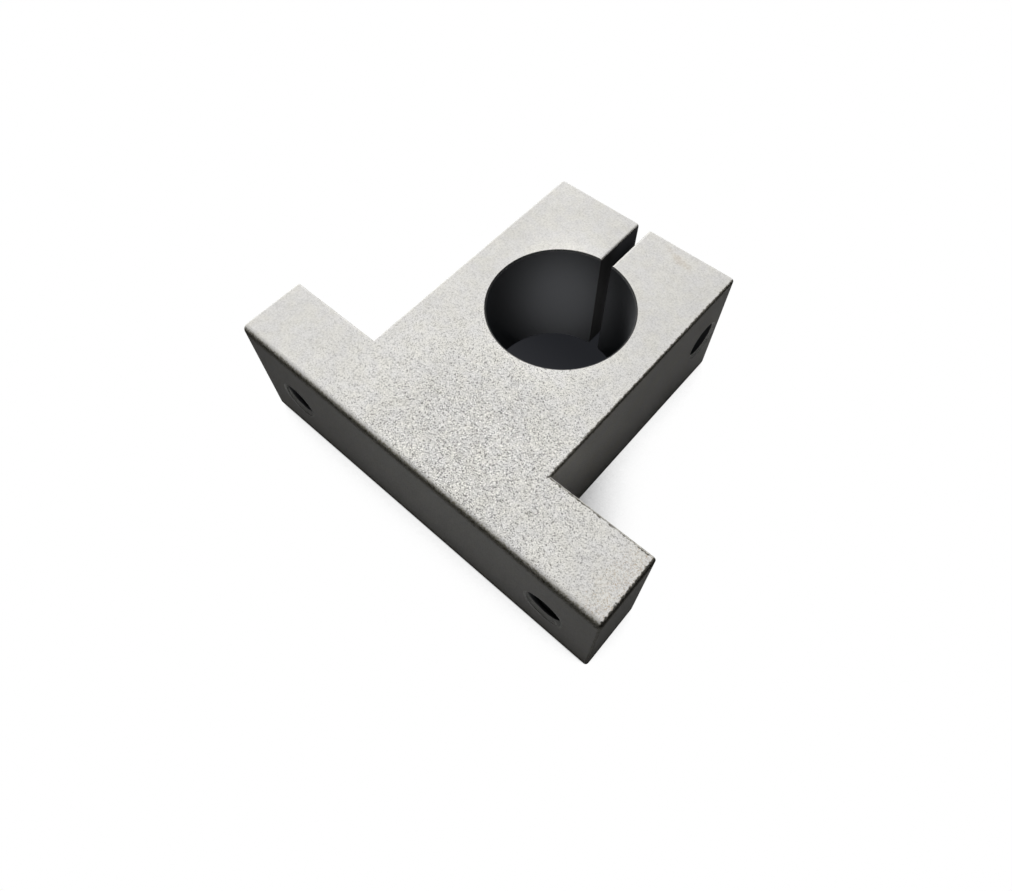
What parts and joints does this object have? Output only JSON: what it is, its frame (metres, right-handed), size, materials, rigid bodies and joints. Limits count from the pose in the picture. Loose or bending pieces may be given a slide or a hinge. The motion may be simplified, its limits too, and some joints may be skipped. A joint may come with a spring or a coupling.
{
  "type": "shaft support block",
  "caption": "Aluminium T-shaped block that clamps a round shaft in its split bore, with a clamp screw hole across the slit and tapped holes through its mounting foot.",
  "frame": {"origin": "on the shaft axis, in the sawn face that the block lies on", "axes": "+Z along the shaft bore, +X along the length of the foot, +Y from the mounting face of the foot towards the slit head"},
  "size_m": [0.06, 0.0493, 0.0195],
  "materials": {
    "blasted_aluminium": "blasted and anodised, light grey, satin"
  },
  "bodies": {
    "root": {"support_block": "blasted_aluminium"}
  },
  "joints": []
}
